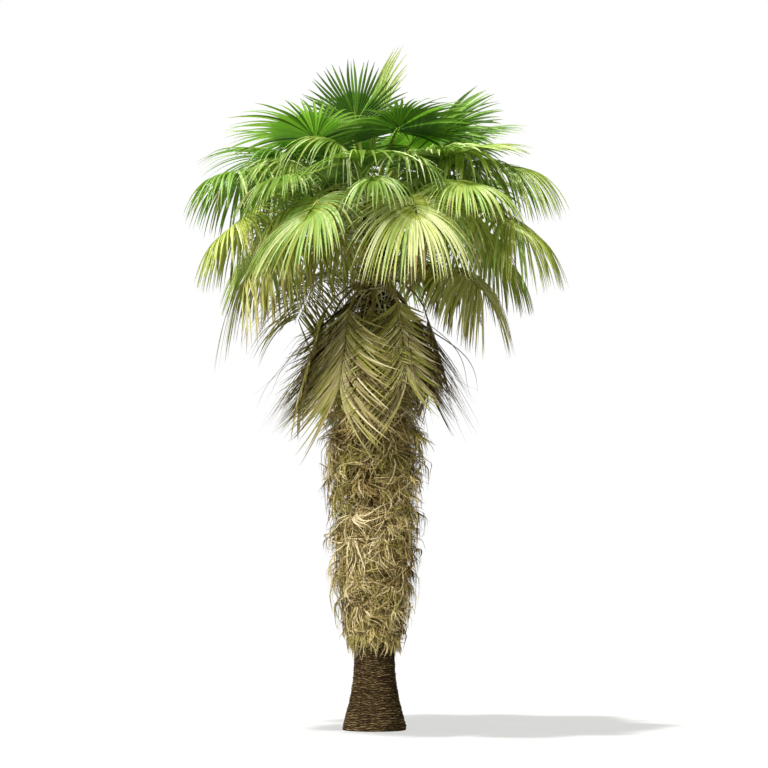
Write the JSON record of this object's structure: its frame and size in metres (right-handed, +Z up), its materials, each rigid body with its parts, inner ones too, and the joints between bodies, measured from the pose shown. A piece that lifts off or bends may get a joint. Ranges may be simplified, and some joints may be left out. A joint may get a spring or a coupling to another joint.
{
  "type": "fan palm tree",
  "caption": "Tall single-trunk fan palm with a flared foot, a skirt of dead leaves round the trunk and a full round crown of fan-shaped fronds.",
  "frame": {"origin": "centre of the flat cut under the trunk, at ground level", "axes": "+Z up along the trunk, -Y towards the viewer of the picture, +X to the picture's right"},
  "size_m": [4.3099, 4.4627, 8.0287],
  "materials": {
    "bark": "rough dark bark with fine level cracks",
    "petiole": "smooth green leaf stalk",
    "young_leaf": "pale folded young leaf",
    "green_leaf": "satin green fan leaf",
    "yellow_leaf": "satin yellow-green fan leaf",
    "olive_leaf": "ageing olive fan leaf",
    "dead_leaf": "dull dying fan leaf",
    "straw": "dry matted dead leaves"
  },
  "bodies": {
    "root": {"arching_blade_1": "yellow_leaf", "arching_blade_2": "yellow_leaf", "arching_blade_3": "yellow_leaf", "arching_blade_4": "yellow_leaf", "arching_blade_5": "yellow_leaf", "arching_blade_6": "yellow_leaf", "arching_blade_7": "yellow_leaf", "arching_petiole_1": "petiole", "arching_petiole_2": "petiole", "arching_petiole_3": "petiole", "arching_petiole_4": "petiole", "arching_petiole_5": "petiole", "arching_petiole_6": "petiole", "arching_petiole_7": "petiole", "drooping_frond_1": "olive_leaf", "drooping_frond_2": "olive_leaf", "drooping_frond_3": "olive_leaf", "drooping_frond_4": "olive_leaf", "erect_frond_1": "green_leaf", "erect_frond_2": "green_leaf", "hanging_frond_1": "dead_leaf", "hanging_frond_2": "dead_leaf", "hanging_frond_3": "dead_leaf", "hanging_frond_4": "dead_leaf", "hanging_frond_5": "dead_leaf", "hanging_frond_6": "dead_leaf", "hanging_frond_7": "dead_leaf", "low_blade_1": "yellow_leaf", "low_blade_2": "yellow_leaf", "low_blade_3": "yellow_leaf", "low_blade_4": "yellow_leaf", "low_blade_5": "yellow_leaf", "low_blade_6": "yellow_leaf", "low_blade_7": "yellow_leaf", "low_petiole_1": "petiole", "low_petiole_2": "petiole", "low_petiole_3": "petiole", "low_petiole_4": "petiole", "low_petiole_5": "petiole", "low_petiole_6": "petiole", "low_petiole_7": "petiole", "skirt_lower_1": "straw", "skirt_lower_2": "straw", "skirt_lower_3": "straw", "skirt_upper_1": "straw", "skirt_upper_2": "straw", "skirt_upper_3": "straw", "spear_frond": "young_leaf", "spreading_frond_1": "green_leaf", "spreading_frond_2": "green_leaf", "spreading_frond_3": "green_leaf", "spreading_frond_4": "green_leaf", "spreading_frond_5": "green_leaf", "spreading_frond_6": "green_leaf", "trunk": "bark", "upper_frond_1": "green_leaf", "upper_frond_2": "green_leaf", "upper_frond_3": "green_leaf", "upper_frond_4": "green_leaf", "upper_frond_5": "green_leaf"}
  },
  "joints": []
}
